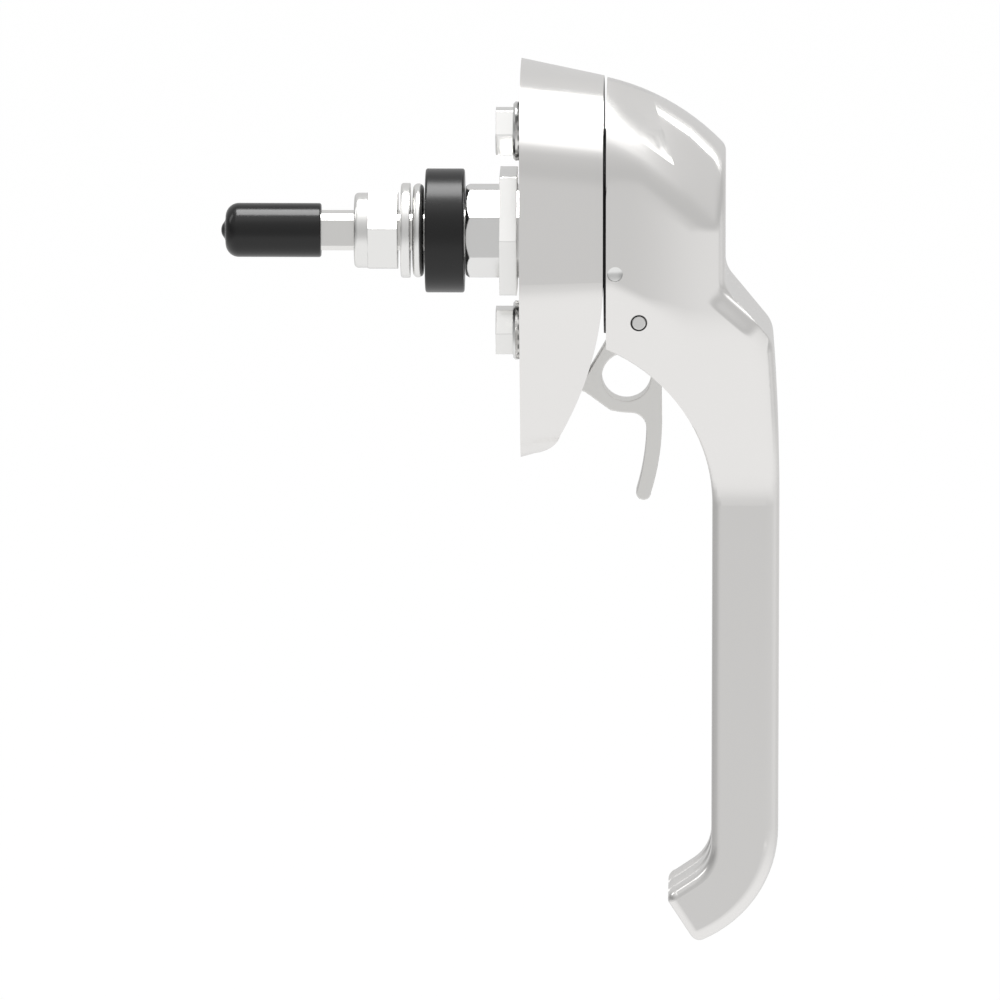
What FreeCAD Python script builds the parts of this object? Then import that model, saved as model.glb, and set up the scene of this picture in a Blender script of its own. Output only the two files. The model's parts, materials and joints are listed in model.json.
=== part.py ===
import FreeCAD, Part
import math
import os
import Sketcher

# Locking L-handle: a drafted base with a squared bushing, a cast L-grip on a spindle and a padlock trigger.
# Frame: origin on the spindle axis at the door face of the base, X out of the door, Z up. Millimetres.

SIZES = {
    # base casting
    "base_depth": 18.5, "base_half_width": 29.0, "base_top": 38.3, "base_bottom": 51.3,
    "base_draft": 11.8, "arch_radius": 66.0, "shoulder_radius": 19.5, "side_foot": 7.5,
    "waist_radius": 20.0, "toe_radius": 13.0,
    "slope_start": 11.0, "slope_bulge": 1.9, "slope_foot_x": 9.0, "slope_foot_z": 44.7,
    "toe_nose": 3.2, "toe_rise": 1.7,
    "rim_width": 3.6, "rim_depth": 1.0, "boss_radius": 5.4,
    "screw_spacing": 45.0, "screw_radius": 3.0, "screw_hole_gap": 0.05, "screw_reach": 10.0,
    "head_flats": 10.0, "head_height": 3.9, "screw_washer_radius": 6.65, "screw_washer_thick": 1.7,
    # bushing and jam nut
    "bushing_out": 12.3, "bushing_flats": 19.7, "bushing_corner_flats": 20.4, "bushing_seat": 9.6,
    "bushing_in": 13.0, "bushing_cone": 1.1, "nut_flats": 26.7, "nut_thick": 3.9, "nut_stand": 0.8,
    "nut_bore_gap": 0.05,
    # spindle and what it carries
    "journal_radius": 6.0, "running_gap": 0.05, "square_flats": 8.2, "thread_radius": 5.0,
    "spindle_tail": 63.6, "journal_shoulder": 12.6, "head_bore_depth": 14.0,
    "ring_gap": 0.3, "ring_thick": 8.7, "ring_radius": 13.85, "ring_round": 0.5,
    "slip_gap": 0.1, "stack_gap": 0.4, "dome_thick": 2.4, "dome_radius": 10.5, "plate_gap": 0.6,
    "plate_thick": 2.1, "plate_radius": 10.6, "lock_gap": 0.7, "lock_flats": 17.0, "lock_hex": 6.6,
    "lock_collar": 3.1, "lock_collar_radius": 8.4, "insert_thick": 2.4, "insert_radius": 6.5,
    "cap_length": 21.4, "cap_wall": 2.4, "cap_radius": 6.05, "cap_round": 3.0, "cap_nub": 1.0,
    "cap_nub_radius": 2.25, "seal_wire": 0.9, "seal_place": 4.0,
    # friction disc and handle head
    "disc_gap": 0.1, "disc_thick": 0.6, "disc_radius": 22.8,
    "head_half_width": 25.0, "ramp_half_width": 15.8, "head_top": 34.1, "head_arch": 62.0,
    "head_shoulder": 17.0, "side_stock": 1.0, "roof_stock": 2.0, "neck_foot": 3.0,
    "roof_blend": 14.0, "neck_blend": 20.0, "front_round": 3.0,
    "rear_round": 2.0,
    "head_front": 45.7, "roof_radius": 52.0, "roof_front": 20.0,
    "ramp_top": 10.2, "ramp_x": 54.6, "ramp_z": 20.6, "ramp_hollow": 6.0, "knuckle_radius": 6.5,
    "neck_bow": 430.0,
    "grip_rear": 42.9, "grip_front": 57.9, "grip_half_width": 12.5, "grip_straight_top": 60.0,
    "taper_blend": 26.0,
    "hook_top": 134.0, "hook_outer": 28.0, "hook_end_x": 39.5,
    "hook_inner": 9.0, "hook_inner_drop": 3.7, "hook_inner_turn": 56.0,
    "hook_lip_x": 33.3, "hook_lip_rise": 1.6, "hook_lip_drop": 9.5,
    "under_radius": 40.0,
    "rib_pitch": 9.7, "rib_groove": 2.6, "rib_rise": 1.2,
    # trigger and its slot
    "slot_width": 7.0, "slot_roof": 10.2, "slot_front": 38.6,
    "pivot_x": 26.5, "pivot_z": 17.0, "pivot_radius": 1.5, "pivot_gap": 0.05, "pivot_sink": 0.7,
    "pin_x": 21.2, "pin_z": 5.8, "pin_radius": 1.65, "pin_sink": 0.5, "dimple_depth": 0.6,
    "mouth_gap": 0.3,
    "lever_thick": 6.0, "lever_stand": 0.8, "disc_clear": 0.5, "hub_radius": 5.6,
    "eye_x": 23.6, "eye_z": 32.6, "eye_radius": 5.5,
    "nose_x": 13.4, "nose_z": 34.6,
    "tail_right": 31.6, "tail_tip_x": 27.5, "tail_tip_z": 60.5, "tail_tip_radius": 1.65,
    "keeper_gap": 0.6, "keeper_floor": 11.4, "track_gap": 0.4,
    # trigger spring
    "spring_radius": 2.0, "spring_wire": 0.8, "spring_turns": 3.5, "spring_x": 32.4,
    "spring_foot": 13.6, "spring_top": 7.0, "spring_well_gap": 0.35,
}

PARTS_DIR = "parts"
FAR = 200.0

doc = FreeCAD.newDocument("locking_l_handle")
sheet = doc.addObject("Spreadsheet::Sheet", "sizes")
for row, (name, value) in enumerate(SIZES.items(), start=1):
    sheet.set("A%d" % row, name)
    sheet.set("B%d" % row, str(value))
    sheet.setAlias("B%d" % row, name)
doc.recompute()

SIZE = {name: float(sheet.get(name)) for name in SIZES}
subparts = []


def V(x, y, z=0.0):
    return FreeCAD.Vector(x, y, z)


# Helpers for bodies, sketches and features

def body(label):
    item = doc.addObject("PartDesign::Body", label)
    item.Label = label
    subparts.append(item)
    return item


def plane_of(item, role):
    return next(o for o in item.Origin.OriginFeatures if o.Role == role)


def sketch(item, role, name, edges, offset=0.0):
    # On YZ_Plane sketch x is Y and sketch y is Z; on XZ_Plane sketch x is X and sketch y is Z.
    made = item.newObject("Sketcher::SketchObject", name)
    made.AttachmentSupport = (plane_of(item, role), [""])
    made.MapMode = "FlatFace"
    made.AttachmentOffset = FreeCAD.Placement(V(0, 0, offset), FreeCAD.Rotation())
    made.addGeometry(edges, False)
    return made


def feature(item, kind, name, profile, **settings):
    made = item.newObject("PartDesign::" + kind, name)
    made.Profile = profile
    for key, value in settings.items():
        if isinstance(value, str) and key in ("Length", "Angle", "Size", "Radius"):
            made.setExpression(key, value)
        else:
            setattr(made, key, value)
    profile.Visibility = False
    return made


def turned(item, kind, name, edges, angle=360.0):
    # A profile in sketch x = X, sketch y = radius, turned about the X axis.
    profile = sketch(item, "XZ_Plane", name + "_profile", edges)
    return feature(
        item, kind, name, profile, Angle=angle, ReferenceAxis=(profile, ["H_Axis"])
    )


def chain(points):
    count = len(points)
    return [Part.LineSegment(points[i], points[(i + 1) % count]) for i in range(count)]


def box_edges(x_low, y_low, x_high, y_high):
    return chain([V(x_low, y_low), V(x_high, y_low), V(x_high, y_high), V(x_low, y_high)])


def circle(x, y, radius):
    return [Part.Circle(V(x, y), V(0, 0, 1), radius)]


def arc(centre, radius, start, end):
    return Part.ArcOfCircle(Part.Circle(centre, V(0, 0, 1), radius), start, end)


def through(first, middle, last):
    return Part.Arc(first, middle, last)


def polygon(flats, sides, turn=0.0):
    radius = flats / 2 / math.cos(math.pi / sides)
    step = 2 * math.pi / sides
    return chain(
        [
            V(radius * math.cos(turn + step * i), radius * math.sin(turn + step * i))
            for i in range(sides)
        ]
    )


def direction(angle):
    return V(math.cos(angle), math.sin(angle))


# Outlines drawn as a right half and its mirror image

def arc_part(centre, radius, start, end):
    return ("arc", centre, radius, start, end)


def line_part(first, last):
    return ("line", first, last)


def mirrored(piece):
    if piece[0] == "line":
        return line_part(V(-piece[1].x, piece[1].y), V(-piece[2].x, piece[2].y))
    kind, centre, radius, start, end = piece
    return arc_part(V(-centre.x, centre.y), radius, math.pi - end, math.pi - start)


def drawn(piece):
    if piece[0] == "line":
        return Part.LineSegment(piece[1], piece[2])
    return arc(*piece[1:])


def shoulder_parts(half_width, top, arch, shoulder):
    # The arch over the top and the rounded shoulder that brings it down to the upright side.
    reach = math.sqrt((arch - shoulder) ** 2 - (half_width - shoulder) ** 2)
    centre = V(half_width - shoulder, top - arch + reach)
    lean = math.atan2(reach, half_width - shoulder)
    return arc_part(V(0, top - arch), arch, lean, math.pi - lean), centre, lean


def shield(half_width, top, arch, shoulder, foot, waist, bottom, toe):
    crown, centre, lean = shoulder_parts(half_width, top, arch, shoulder)
    waist_centre = V(half_width - waist, -foot)
    toe_centre = V(0, -bottom + toe)
    span = waist_centre - toe_centre
    normal = math.atan2(span.y, span.x) - math.acos((toe - waist) / span.Length)
    right = [
        arc_part(centre, shoulder, 0, lean),
        line_part(V(half_width, centre.y), V(half_width, -foot)),
        arc_part(waist_centre, waist, normal, 0),
        line_part(
            waist_centre + direction(normal) * waist, toe_centre + direction(normal) * toe
        ),
    ]
    sole = arc_part(toe_centre, toe, math.pi - normal, 2 * math.pi + normal)
    pieces = [crown] + right + [sole] + [mirrored(piece) for piece in reversed(right)]
    return [drawn(piece) for piece in pieces]


def handle_front(half_width, top, arch, shoulder, grip_half, bottom):
    # Head outline that runs down into the straight sides of the grip.
    crown, centre, lean = shoulder_parts(half_width, top, arch, shoulder)
    waist, blend = SIZE["waist_radius"], SIZE["taper_blend"]
    waist_centre = V(half_width - waist, -SIZE["neck_foot"])
    blend_centre = V(grip_half + blend, -SIZE["grip_straight_top"])
    span = blend_centre - waist_centre
    lean_down = math.atan2(span.y, span.x) + math.acos((waist + blend) / span.Length)
    right = [
        arc_part(centre, shoulder, 0, lean),
        line_part(V(half_width, centre.y), V(half_width, -SIZE["neck_foot"])),
        arc_part(waist_centre, waist, lean_down, 0),
        line_part(
            waist_centre + direction(lean_down) * waist,
            blend_centre - direction(lean_down) * blend,
        ),
        arc_part(blend_centre, blend, math.pi + lean_down, math.pi),
        line_part(V(grip_half, -SIZE["grip_straight_top"]), V(grip_half, -bottom)),
    ]
    sole = line_part(V(grip_half, -bottom), V(-grip_half, -bottom))
    pieces = [crown] + right + [sole] + [mirrored(piece) for piece in reversed(right)]
    return [drawn(piece) for piece in pieces]


def box_pocket(item, role, name, corners, middle=True, offset=0.0, length=FAR, **settings):
    profile = sketch(item, role, name + "_profile", box_edges(*corners), offset)
    return feature(item, "Pocket", name, profile, Length=length, Midplane=middle, **settings)


# Base body

def base_housing():
    item = body("base_housing")
    draft = math.tan(math.radians(SIZE["base_draft"])) * SIZE["base_depth"]
    back = sketch(
        item, "YZ_Plane", "back_outline",
        shield(
            SIZE["base_half_width"], SIZE["base_top"], SIZE["arch_radius"],
            SIZE["shoulder_radius"], SIZE["side_foot"], SIZE["waist_radius"],
            SIZE["base_bottom"], SIZE["toe_radius"],
        ),
    )
    front = sketch(
        item, "YZ_Plane", "front_outline",
        shield(
            SIZE["base_half_width"] - draft, SIZE["base_top"] - draft,
            SIZE["arch_radius"] - draft, SIZE["shoulder_radius"] - draft, SIZE["side_foot"],
            SIZE["waist_radius"] - draft, SIZE["base_bottom"] - draft,
            SIZE["toe_radius"] - draft,
        ),
        SIZE["base_depth"],
    )
    loft = feature(item, "AdditiveLoft", "drafted_wall", back, Ruled=True)
    loft.Sections = [(front, [""])]
    front.Visibility = False

    # Everything in front of the sloping lower face is cut away.
    start = V(SIZE["base_depth"], -SIZE["slope_start"])
    foot = V(SIZE["slope_foot_x"], -SIZE["slope_foot_z"])
    middle = (start + foot) * 0.5 + V(SIZE["slope_bulge"], 0)
    nose = V(SIZE["toe_nose"], -SIZE["base_bottom"] + SIZE["toe_rise"])
    chord = nose - foot
    bulge = foot + chord * 0.5 + V(-chord.y, chord.x).normalize() * chord.Length * 0.16
    under = V(-1.0, nose.y - SIZE["toe_rise"] * 0.8)
    outer = V(SIZE["base_depth"] * 2, under.y)
    slope = sketch(
        item, "XZ_Plane", "slope_profile",
        [
            through(start, middle, foot),
            through(foot, bulge, nose),
            Part.LineSegment(nose, under),
            Part.LineSegment(under, V(under.x, -SIZE["base_bottom"] * 1.3)),
            Part.LineSegment(
                V(under.x, -SIZE["base_bottom"] * 1.3), V(outer.x, -SIZE["base_bottom"] * 1.3)
            ),
            Part.LineSegment(V(outer.x, -SIZE["base_bottom"] * 1.3), V(outer.x, start.y)),
            Part.LineSegment(V(outer.x, start.y), start),
        ],
    )
    feature(item, "Pocket", "sloping_face", slope, Length=FAR, Midplane=True)

    # The back is relieved inside a flat rim, round the two screw bosses.
    rim = SIZE["rim_width"]
    field = shield(
        SIZE["base_half_width"] - rim, SIZE["base_top"] - rim, SIZE["arch_radius"] - rim,
        SIZE["shoulder_radius"] - rim, SIZE["side_foot"], SIZE["waist_radius"] - rim,
        SIZE["base_bottom"] - rim, SIZE["toe_radius"] - rim,
    )
    relief = sketch(
        item, "YZ_Plane", "relief_profile",
        field
        + circle(0, SIZE["screw_spacing"] / 2, SIZE["boss_radius"])
        + circle(0, -SIZE["screw_spacing"] / 2, SIZE["boss_radius"]),
    )
    feature(item, "Pocket", "back_relief", relief, Length="sizes.rim_depth", Reversed=True)

    # Stepped seat for the bushing, open to the front for the spindle.
    turned(
        item, "Groove", "bushing_bore",
        chain([
            V(-1, 0), V(-1, SIZE["bushing_seat"]), V(SIZE["bushing_in"], SIZE["bushing_seat"]),
            V(SIZE["bushing_in"], SIZE["journal_radius"] + SIZE["ring_gap"]),
            V(SIZE["base_depth"] + 1, SIZE["journal_radius"] + SIZE["ring_gap"]),
            V(SIZE["base_depth"] + 1, 0),
        ]),
    )
    holes = sketch(
        item, "YZ_Plane", "screw_hole_profile",
        circle(0, SIZE["screw_spacing"] / 2, SIZE["screw_radius"] + SIZE["screw_hole_gap"])
        + circle(0, -SIZE["screw_spacing"] / 2, SIZE["screw_radius"] + SIZE["screw_hole_gap"]),
    )
    feature(item, "Pocket", "screw_holes", holes, Length="sizes.screw_reach", Reversed=True)

    # Keeper slots for the trigger's nose, closed at the bottom and open at the side.
    half = (SIZE["slot_width"] + SIZE["keeper_gap"]) / 2
    reach = SIZE["keeper_floor"]
    box_pocket(
        item, "XZ_Plane", "closed_keeper",
        (reach, -SIZE["nose_z"] - 2.4, SIZE["base_depth"] + 1, -SIZE["disc_radius"]),
        length=2 * half,
    )
    side = sketch(
        item, "YZ_Plane", "open_keeper_profile",
        box_edges(SIZE["disc_radius"], -half, SIZE["base_half_width"] + 2, half),
        SIZE["base_depth"] + 1,
    )
    feature(
        item, "Pocket", "open_keeper", side, Length=SIZE["base_depth"] + 1 - reach,
        Midplane=False, Reversed=False,
    )

    # Shallow track that the nose runs over between the two slots.
    gap = SIZE["track_gap"]
    track = sketch(
        item, "XZ_Plane", "track_profile",
        chain([
            V(SIZE["base_depth"] + 1, -SIZE["disc_radius"]),
            V(nose_edge(SIZE["disc_radius"]) - gap, -SIZE["disc_radius"]),
            V(SIZE["nose_x"] - gap, -SIZE["nose_z"] - gap / 2),
            V(SIZE["nose_x"] - gap, -SIZE["nose_z"] - 2.4),
            V(SIZE["base_depth"] + 1, -SIZE["nose_z"] - 2.4),
        ]),
    )
    feature(
        item, "Groove", "nose_track", track, Angle=96.0, ReferenceAxis=(track, ["H_Axis"]),
        Reversed=False,
    )
    return item


def octagon_bushing():
    item = body("octagon_bushing")
    half = SIZE["bushing_flats"] / 2
    cut = SIZE["bushing_corner_flats"] / 2
    # The corner planes lie at 45 degrees, so they meet the flats at this half length.
    flat = cut * math.sqrt(2) - half
    section = chain([
        V(half, -flat), V(half, flat), V(flat, half), V(-flat, half),
        V(-half, flat), V(-half, -flat), V(-flat, -half), V(flat, -half),
    ])
    outside = sketch(item, "YZ_Plane", "octagon_profile", section, SIZE["rim_depth"])
    feature(
        item, "Pad", "octagon_length", outside,
        Length=SIZE["rim_depth"] + SIZE["bushing_out"], Reversed=True,
    )
    turned(
        item, "Revolution", "seat_in_base",
        box_edges(SIZE["rim_depth"] - 0.5, 0, SIZE["bushing_in"], SIZE["bushing_seat"]),
    )
    end = -SIZE["bushing_out"]
    corner = math.hypot(half, flat) + 0.2
    turned(
        item, "Groove", "end_cone",
        chain([
            V(end - 1, half), V(end, half),
            V(end + (corner - half) / SIZE["bushing_cone"], corner), V(end - 1, corner),
        ]),
    )
    bore = SIZE["journal_radius"] + SIZE["running_gap"]
    turned(item, "Groove", "journal_bore", box_edges(end - 1, 0, SIZE["bushing_in"] + 1, bore))
    return item


def hexagon(item, name, low, high, flats, turn):
    outline = sketch(item, "YZ_Plane", name + "_profile", polygon(flats, 6, turn), low)
    feature(item, "Pad", name, outline, Length=high - low)


def jam_nut():
    item = body("jam_nut")
    high = -SIZE["nut_stand"]
    low = high - SIZE["nut_thick"]
    hexagon(item, "hexagon", low, high, SIZE["nut_flats"], 0.0)
    half = SIZE["bushing_flats"] / 2
    flat = SIZE["bushing_corner_flats"] / 2 * math.sqrt(2) - half
    bore = math.hypot(half, flat) + SIZE["nut_bore_gap"]
    turned(item, "Groove", "thread_bore", box_edges(low - 1, 0, high + 1, bore))
    return item


def mounting_screw(label, place):
    item = body(label)
    seat = -SIZE["screw_washer_thick"]
    hexagon(item, "head", seat - SIZE["head_height"], seat, SIZE["head_flats"], 0.0)
    end = SIZE["screw_reach"] - 0.6
    turned(
        item, "Revolution", "shank",
        chain([
            V(seat - 1, 0), V(end, 0), V(end, SIZE["screw_radius"] - 0.6),
            V(end - 0.6, SIZE["screw_radius"]), V(seat - 1, SIZE["screw_radius"]),
        ]),
    )
    item.Placement = FreeCAD.Placement(V(0, 0, place), FreeCAD.Rotation())
    return item


def screw_washer(label, place):
    item = body(label)
    thick, outer = SIZE["screw_washer_thick"], SIZE["screw_washer_radius"]
    inner = SIZE["screw_radius"] + SIZE["slip_gap"]
    turned(
        item, "Revolution", "ring",
        chain([
            V(0, inner), V(0, outer - 0.5), V(-0.35, outer - 0.1), V(-thick + 0.5, outer),
            V(-thick, outer - 0.5), V(-thick, inner),
        ]),
    )
    item.Placement = FreeCAD.Placement(V(0, 0, place), FreeCAD.Rotation())
    return item


# Handle body, pieces on the spindle

def square_section(flats, corner):
    # Square with its corners turned down to the thread's outer radius.
    half = flats / 2
    bend = math.acos(half / corner)
    pieces = []
    for turn in range(4):
        middle = math.pi / 2 * turn
        pieces.append(
            Part.LineSegment(
                direction(middle - bend) * corner, direction(middle + bend) * corner
            )
        )
        pieces.append(
            arc(V(0, 0), corner, middle + bend, middle + math.pi / 2 - bend)
        )
    return pieces


def spindle():
    item = body("spindle")
    shoulder = -SIZE["journal_shoulder"]
    front = SIZE["base_depth"] + SIZE["disc_gap"] + SIZE["disc_thick"] + SIZE["head_bore_depth"]
    turned(
        item, "Revolution", "journal",
        box_edges(shoulder, 0, front, SIZE["journal_radius"]),
    )
    square = sketch(
        item, "YZ_Plane", "square_profile",
        square_section(SIZE["square_flats"], SIZE["thread_radius"]), shoulder + 0.5,
    )
    feature(
        item, "Pad", "square_tail", square, Reversed=True,
        Length=SIZE["spindle_tail"] - SIZE["journal_shoulder"] + 0.5,
    )
    place = SIZE["seal_place"]
    wire = SIZE["seal_wire"]
    floor = SIZE["journal_radius"] + SIZE["running_gap"] - 2 * wire
    turned(
        item, "Groove", "seal_groove",
        box_edges(place - wire * 1.2, floor, place + wire * 1.2, SIZE["journal_radius"] + 1),
    )
    notch = sketch(
        item, "XZ_Plane", "pin_notch_profile",
        circle(SIZE["pin_x"], -SIZE["pin_z"], SIZE["pin_radius"] + SIZE["running_gap"]),
    )
    feature(item, "Pocket", "pin_notch", notch, Length=FAR, Midplane=True)
    return item


def spindle_seal():
    item = body("spindle_seal")
    wire = SIZE["seal_wire"]
    ring = SIZE["journal_radius"] + SIZE["running_gap"] - wire
    turned(item, "Revolution", "o_ring", circle(SIZE["seal_place"], ring, wire * 0.97))
    return item


def plain_ring(label, low, high, inner, outer, low_round, high_round):
    item = body(label)
    turned(
        item, "Revolution", "ring",
        [
            Part.LineSegment(V(low, inner), V(low, outer - low_round)),
            arc(V(low + low_round, outer - low_round), low_round, math.pi / 2, math.pi),
            Part.LineSegment(V(low + low_round, outer), V(high - high_round, outer)),
            arc(V(high - high_round, outer - high_round), high_round, 0, math.pi / 2),
            Part.LineSegment(V(high, outer - high_round), V(high, inner)),
            Part.LineSegment(V(high, inner), V(low, inner)),
        ],
    )
    return item


def stack():
    # Each place follows from the piece in front of it on the spindle.
    hole = SIZE["thread_radius"] + SIZE["slip_gap"]
    ring_high = -SIZE["bushing_out"] - SIZE["ring_gap"]
    ring_low = ring_high - SIZE["ring_thick"]
    plain_ring(
        "spacer_ring", ring_low, ring_high, hole, SIZE["ring_radius"],
        SIZE["ring_round"], SIZE["ring_round"],
    )
    dome_high = ring_low - SIZE["stack_gap"]
    dome_low = dome_high - SIZE["dome_thick"]
    plain_ring("rounded_washer", dome_low, dome_high, hole, SIZE["dome_radius"], 1.15, 1.15)
    plate_high = dome_low - SIZE["plate_gap"]
    plate_low = plate_high - SIZE["plate_thick"]
    plain_ring("flat_washer", plate_low, plate_high, hole, SIZE["plate_radius"], 0.6, 0.15)
    lock_nut(plate_low - SIZE["lock_gap"])


def lock_nut(high):
    item = body("lock_nut")
    low = high - SIZE["lock_hex"]
    turn = math.radians(-10.5)
    hexagon(item, "hexagon", low, high, SIZE["lock_flats"], turn)
    outer = SIZE["lock_collar_radius"]
    end = low - SIZE["lock_collar"]
    turned(
        item, "Revolution", "collar",
        [
            Part.LineSegment(V(low + 0.5, 0), V(low + 0.5, outer)),
            Part.LineSegment(V(low + 0.5, outer), V(end + 1.0, outer)),
            arc(V(end + 1.0, outer - 1.0), 1.0, math.pi / 2, math.pi),
            Part.LineSegment(V(end, outer - 1.0), V(end, 0)),
            Part.LineSegment(V(end, 0), V(low + 0.5, 0)),
        ],
    )
    bore = SIZE["thread_radius"] + SIZE["running_gap"]
    turned(item, "Groove", "thread_bore", box_edges(end - 1, 0, high + 1, bore))
    insert_low = end + 0.25
    turned(
        item, "Groove", "insert_seat",
        box_edges(end - 1, 0, insert_low + SIZE["insert_thick"], SIZE["insert_radius"]),
    )
    plain_ring(
        "nylon_insert", insert_low, insert_low + SIZE["insert_thick"], bore,
        SIZE["insert_radius"], 0.3, 0.1,
    )
    return item


def end_cap():
    item = body("end_cap")
    end = -SIZE["spindle_tail"] - SIZE["cap_wall"]
    start = end + SIZE["cap_length"]
    outer, bend = SIZE["cap_radius"], SIZE["cap_round"]
    nub, tip = SIZE["cap_nub"], SIZE["cap_nub_radius"]
    inner = SIZE["thread_radius"] + SIZE["running_gap"]
    floor = -SIZE["spindle_tail"] - SIZE["running_gap"]
    nub_bend = nub * 0.8
    turned(
        item, "Revolution", "shell",
        [
            Part.LineSegment(V(end - nub, 0), V(end - nub, tip - nub_bend)),
            arc(V(end - nub + nub_bend, tip - nub_bend), nub_bend, math.pi / 2, math.pi),
            Part.LineSegment(V(end - nub + nub_bend, tip), V(end, tip)),
            Part.LineSegment(V(end, tip), V(end, outer - bend)),
            arc(V(end + bend, outer - bend), bend, math.pi / 2, math.pi),
            Part.LineSegment(V(end + bend, outer), V(start - 0.35, outer)),
            arc(V(start - 0.35, outer - 0.35), 0.35, 0, math.pi / 2),
            Part.LineSegment(V(start, outer - 0.35), V(start, inner)),
            Part.LineSegment(V(start, inner), V(floor, inner)),
            Part.LineSegment(V(floor, inner), V(floor, 0)),
            Part.LineSegment(V(floor, 0), V(end - nub, 0)),
        ],
    )
    return item


def friction_disc():
    low = SIZE["base_depth"] + SIZE["disc_gap"]
    inner = SIZE["journal_radius"] + SIZE["slip_gap"]
    item = body("friction_disc")
    turned(
        item, "Revolution", "ring",
        box_edges(low, inner, low + SIZE["disc_thick"], SIZE["disc_radius"]),
    )
    return item


# Handle casting

def rear_face():
    return SIZE["base_depth"] + SIZE["disc_gap"] + SIZE["disc_thick"]


def rounded(item, name, size, points):
    # Rounds the edges that pass nearest to the points and to their mirror images.
    doc.recompute()
    base = item.Tip
    numbers = set()
    for point in points + [V(point.x, -point.y, point.z) for point in points]:
        spot = Part.Vertex(point)
        gaps = [edge.distToShape(spot)[0] for edge in base.Shape.Edges]
        numbers.add(gaps.index(min(gaps)) + 1)
    made = item.newObject("PartDesign::Fillet", name)
    made.Base = (base, ["Edge%d" % number for number in sorted(numbers)])
    made.setExpression("Radius", "sizes." + size)


def head_half_width(x):
    # Half the head's width at a distance out from the door, where the sides lean in.
    part = (x - rear_face()) / (SIZE["ramp_x"] - rear_face())
    return SIZE["head_half_width"] + (SIZE["ramp_half_width"] - SIZE["head_half_width"]) * part


def tangent_points(corner, first, second, radius):
    # Where a round of that radius in the corner touches the lines in the two directions.
    turn = math.acos(max(-1.0, min(1.0, -first.dot(second))))
    reach = radius * math.tan(turn / 2)
    return corner + first * reach, corner + second * reach


def hook_centre():
    # Centre of the hook's inner curve in side view.
    return V(
        SIZE["grip_rear"] - SIZE["hook_inner"], -SIZE["hook_top"] - SIZE["hook_inner_drop"]
    )


def side_profile():
    # Side view of head, ramp, grip and hook, drawn round from the head's top rear corner.
    rear = rear_face()
    top = V(rear, SIZE["head_top"] + SIZE["roof_stock"])
    front_foot = V(SIZE["head_front"], -SIZE["ramp_top"])
    slope = V(SIZE["ramp_x"] - SIZE["head_front"], SIZE["ramp_top"] - SIZE["ramp_z"]).normalize()
    hollow_top, hollow_foot = tangent_points(front_foot, V(0, 1), slope, SIZE["ramp_hollow"])
    hollow_centre = hollow_top + V(SIZE["ramp_hollow"], 0)

    # The knuckle's round touches the ramp and the long bow of the neck.
    bow, knuckle = SIZE["neck_bow"], SIZE["knuckle_radius"]
    bow_centre = V(SIZE["grip_front"] - bow, -SIZE["grip_straight_top"])
    start = front_foot + V(slope.y, -slope.x) * knuckle - bow_centre
    along = start.dot(slope)
    run = math.sqrt(along ** 2 - start.dot(start) + (bow - knuckle) ** 2) - along
    knuckle_centre = bow_centre + start + slope * run
    ramp_end = front_foot + slope * run
    outward = (knuckle_centre - bow_centre).normalize()
    bow_start = bow_centre + outward * bow
    middle_turn = (math.atan2(-slope.x, slope.y) + math.pi + math.atan2(outward.y, outward.x)) / 2
    knuckle_middle = knuckle_centre + direction(middle_turn) * knuckle

    outer_centre = V(SIZE["grip_front"] - SIZE["hook_outer"], -SIZE["hook_top"])
    end_turn = math.acos((SIZE["hook_end_x"] - outer_centre.x) / SIZE["hook_outer"])
    end = outer_centre + direction(-end_turn) * SIZE["hook_outer"]
    inner_centre = hook_centre()
    inner_turn = math.radians(SIZE["hook_inner_turn"])
    inner_end = inner_centre + direction(-inner_turn) * SIZE["hook_inner"]
    toward_lip = direction(-inner_turn - math.pi / 2)
    lip_x, lip_rise = SIZE["hook_lip_x"], SIZE["hook_lip_rise"]
    lip_top = inner_end + toward_lip * ((lip_x + lip_rise - inner_end.x) / toward_lip.x)
    lip_foot = V(lip_x, end.y + SIZE["hook_lip_drop"])
    under_centre = V(SIZE["grip_rear"] - SIZE["under_radius"], -SIZE["grip_straight_top"])
    rear_turn = math.acos((rear - under_centre.x) / SIZE["under_radius"])
    rear_foot = under_centre + direction(rear_turn) * SIZE["under_radius"]
    return [
        Part.LineSegment(top, V(SIZE["head_front"], top.y)),
        Part.LineSegment(V(SIZE["head_front"], top.y), hollow_top),
        through(
            hollow_top,
            hollow_centre - (hollow_centre - (hollow_top + hollow_foot) * 0.5).normalize()
            * SIZE["ramp_hollow"],
            hollow_foot,
        ),
        Part.LineSegment(hollow_foot, ramp_end),
        through(ramp_end, knuckle_middle, bow_start),
        arc(bow_centre, bow, 0, math.atan2(outward.y, outward.x)),
        Part.LineSegment(
            V(SIZE["grip_front"], -SIZE["grip_straight_top"]),
            V(SIZE["grip_front"], -SIZE["hook_top"]),
        ),
        arc(outer_centre, SIZE["hook_outer"], -end_turn, 0),
        Part.LineSegment(end, lip_foot),
        through(lip_foot, blend_point(lip_foot, lip_top, 0.2), lip_top),
        Part.LineSegment(lip_top, inner_end),
        arc(inner_centre, SIZE["hook_inner"], -inner_turn, 0),
        Part.LineSegment(
            V(SIZE["grip_rear"], inner_centre.y),
            V(SIZE["grip_rear"], -SIZE["grip_straight_top"]),
        ),
        arc(under_centre, SIZE["under_radius"], 0, rear_turn),
        Part.LineSegment(rear_foot, top),
    ]


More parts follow.
